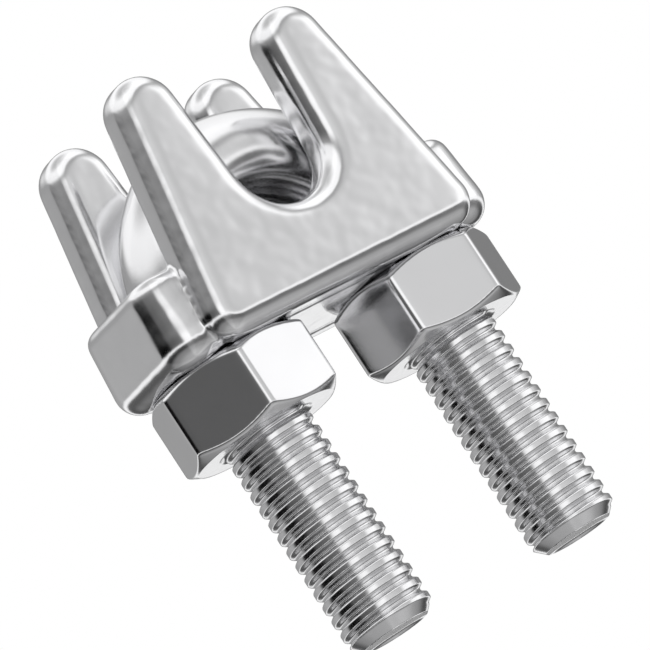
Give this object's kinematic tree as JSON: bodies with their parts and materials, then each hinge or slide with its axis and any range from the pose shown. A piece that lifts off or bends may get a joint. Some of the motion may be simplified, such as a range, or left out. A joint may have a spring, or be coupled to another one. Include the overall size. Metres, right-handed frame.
{
  "type": "wire rope clip",
  "caption": "Wire rope clip: a cast saddle with upright horns and a round cradle, a threaded U-bolt through its ears, and hex nuts that draw the two together on a rope.",
  "frame": {"origin": "axis of the rope where it lies in the saddle's round cradle, midway between the horned walls and midway between the legs", "axes": "+Y along the rope, +X from the left leg to the right leg, +Z from the nuts towards the horn tips"},
  "size_m": [0.0265, 0.0134, 0.0366],
  "materials": {
    "cast_steel": "bright polished casting",
    "rod_steel": "bright rod with a rolled thread",
    "nut_steel": "bright, with softened edges"
  },
  "bodies": {
    "saddle": {"saddle": "cast_steel"},
    "u_bolt": {"u_bolt": "rod_steel"},
    "nut_left": {"nut_left": "nut_steel"},
    "nut_right": {"nut_right": "nut_steel"}
  },
  "joints": [
    {"name": "u_bolt_travel", "type": "slide", "parent": "saddle", "child": "u_bolt", "axis": [0, 0, 1], "range_m": [-0.0015, 0.013]},
    {"name": "nut_left_turn", "type": "hinge", "parent": "saddle", "child": "nut_left", "pos_m": [-0.00765, 0, -0.0091], "axis": [0, 0, 1], "range_deg": [-4680, 540]},
    {"name": "nut_right_turn", "type": "hinge", "parent": "saddle", "child": "nut_right", "pos_m": [0.00765, 0, -0.0091], "axis": [0, 0, 1], "range_deg": [-4680, 540]}
  ],
  "couplings": [
    {"joint": "nut_left_turn", "follows": "u_bolt_travel", "rad_per_m": -6283.2},
    {"joint": "nut_right_turn", "follows": "u_bolt_travel", "rad_per_m": -6283.2}
  ]
}
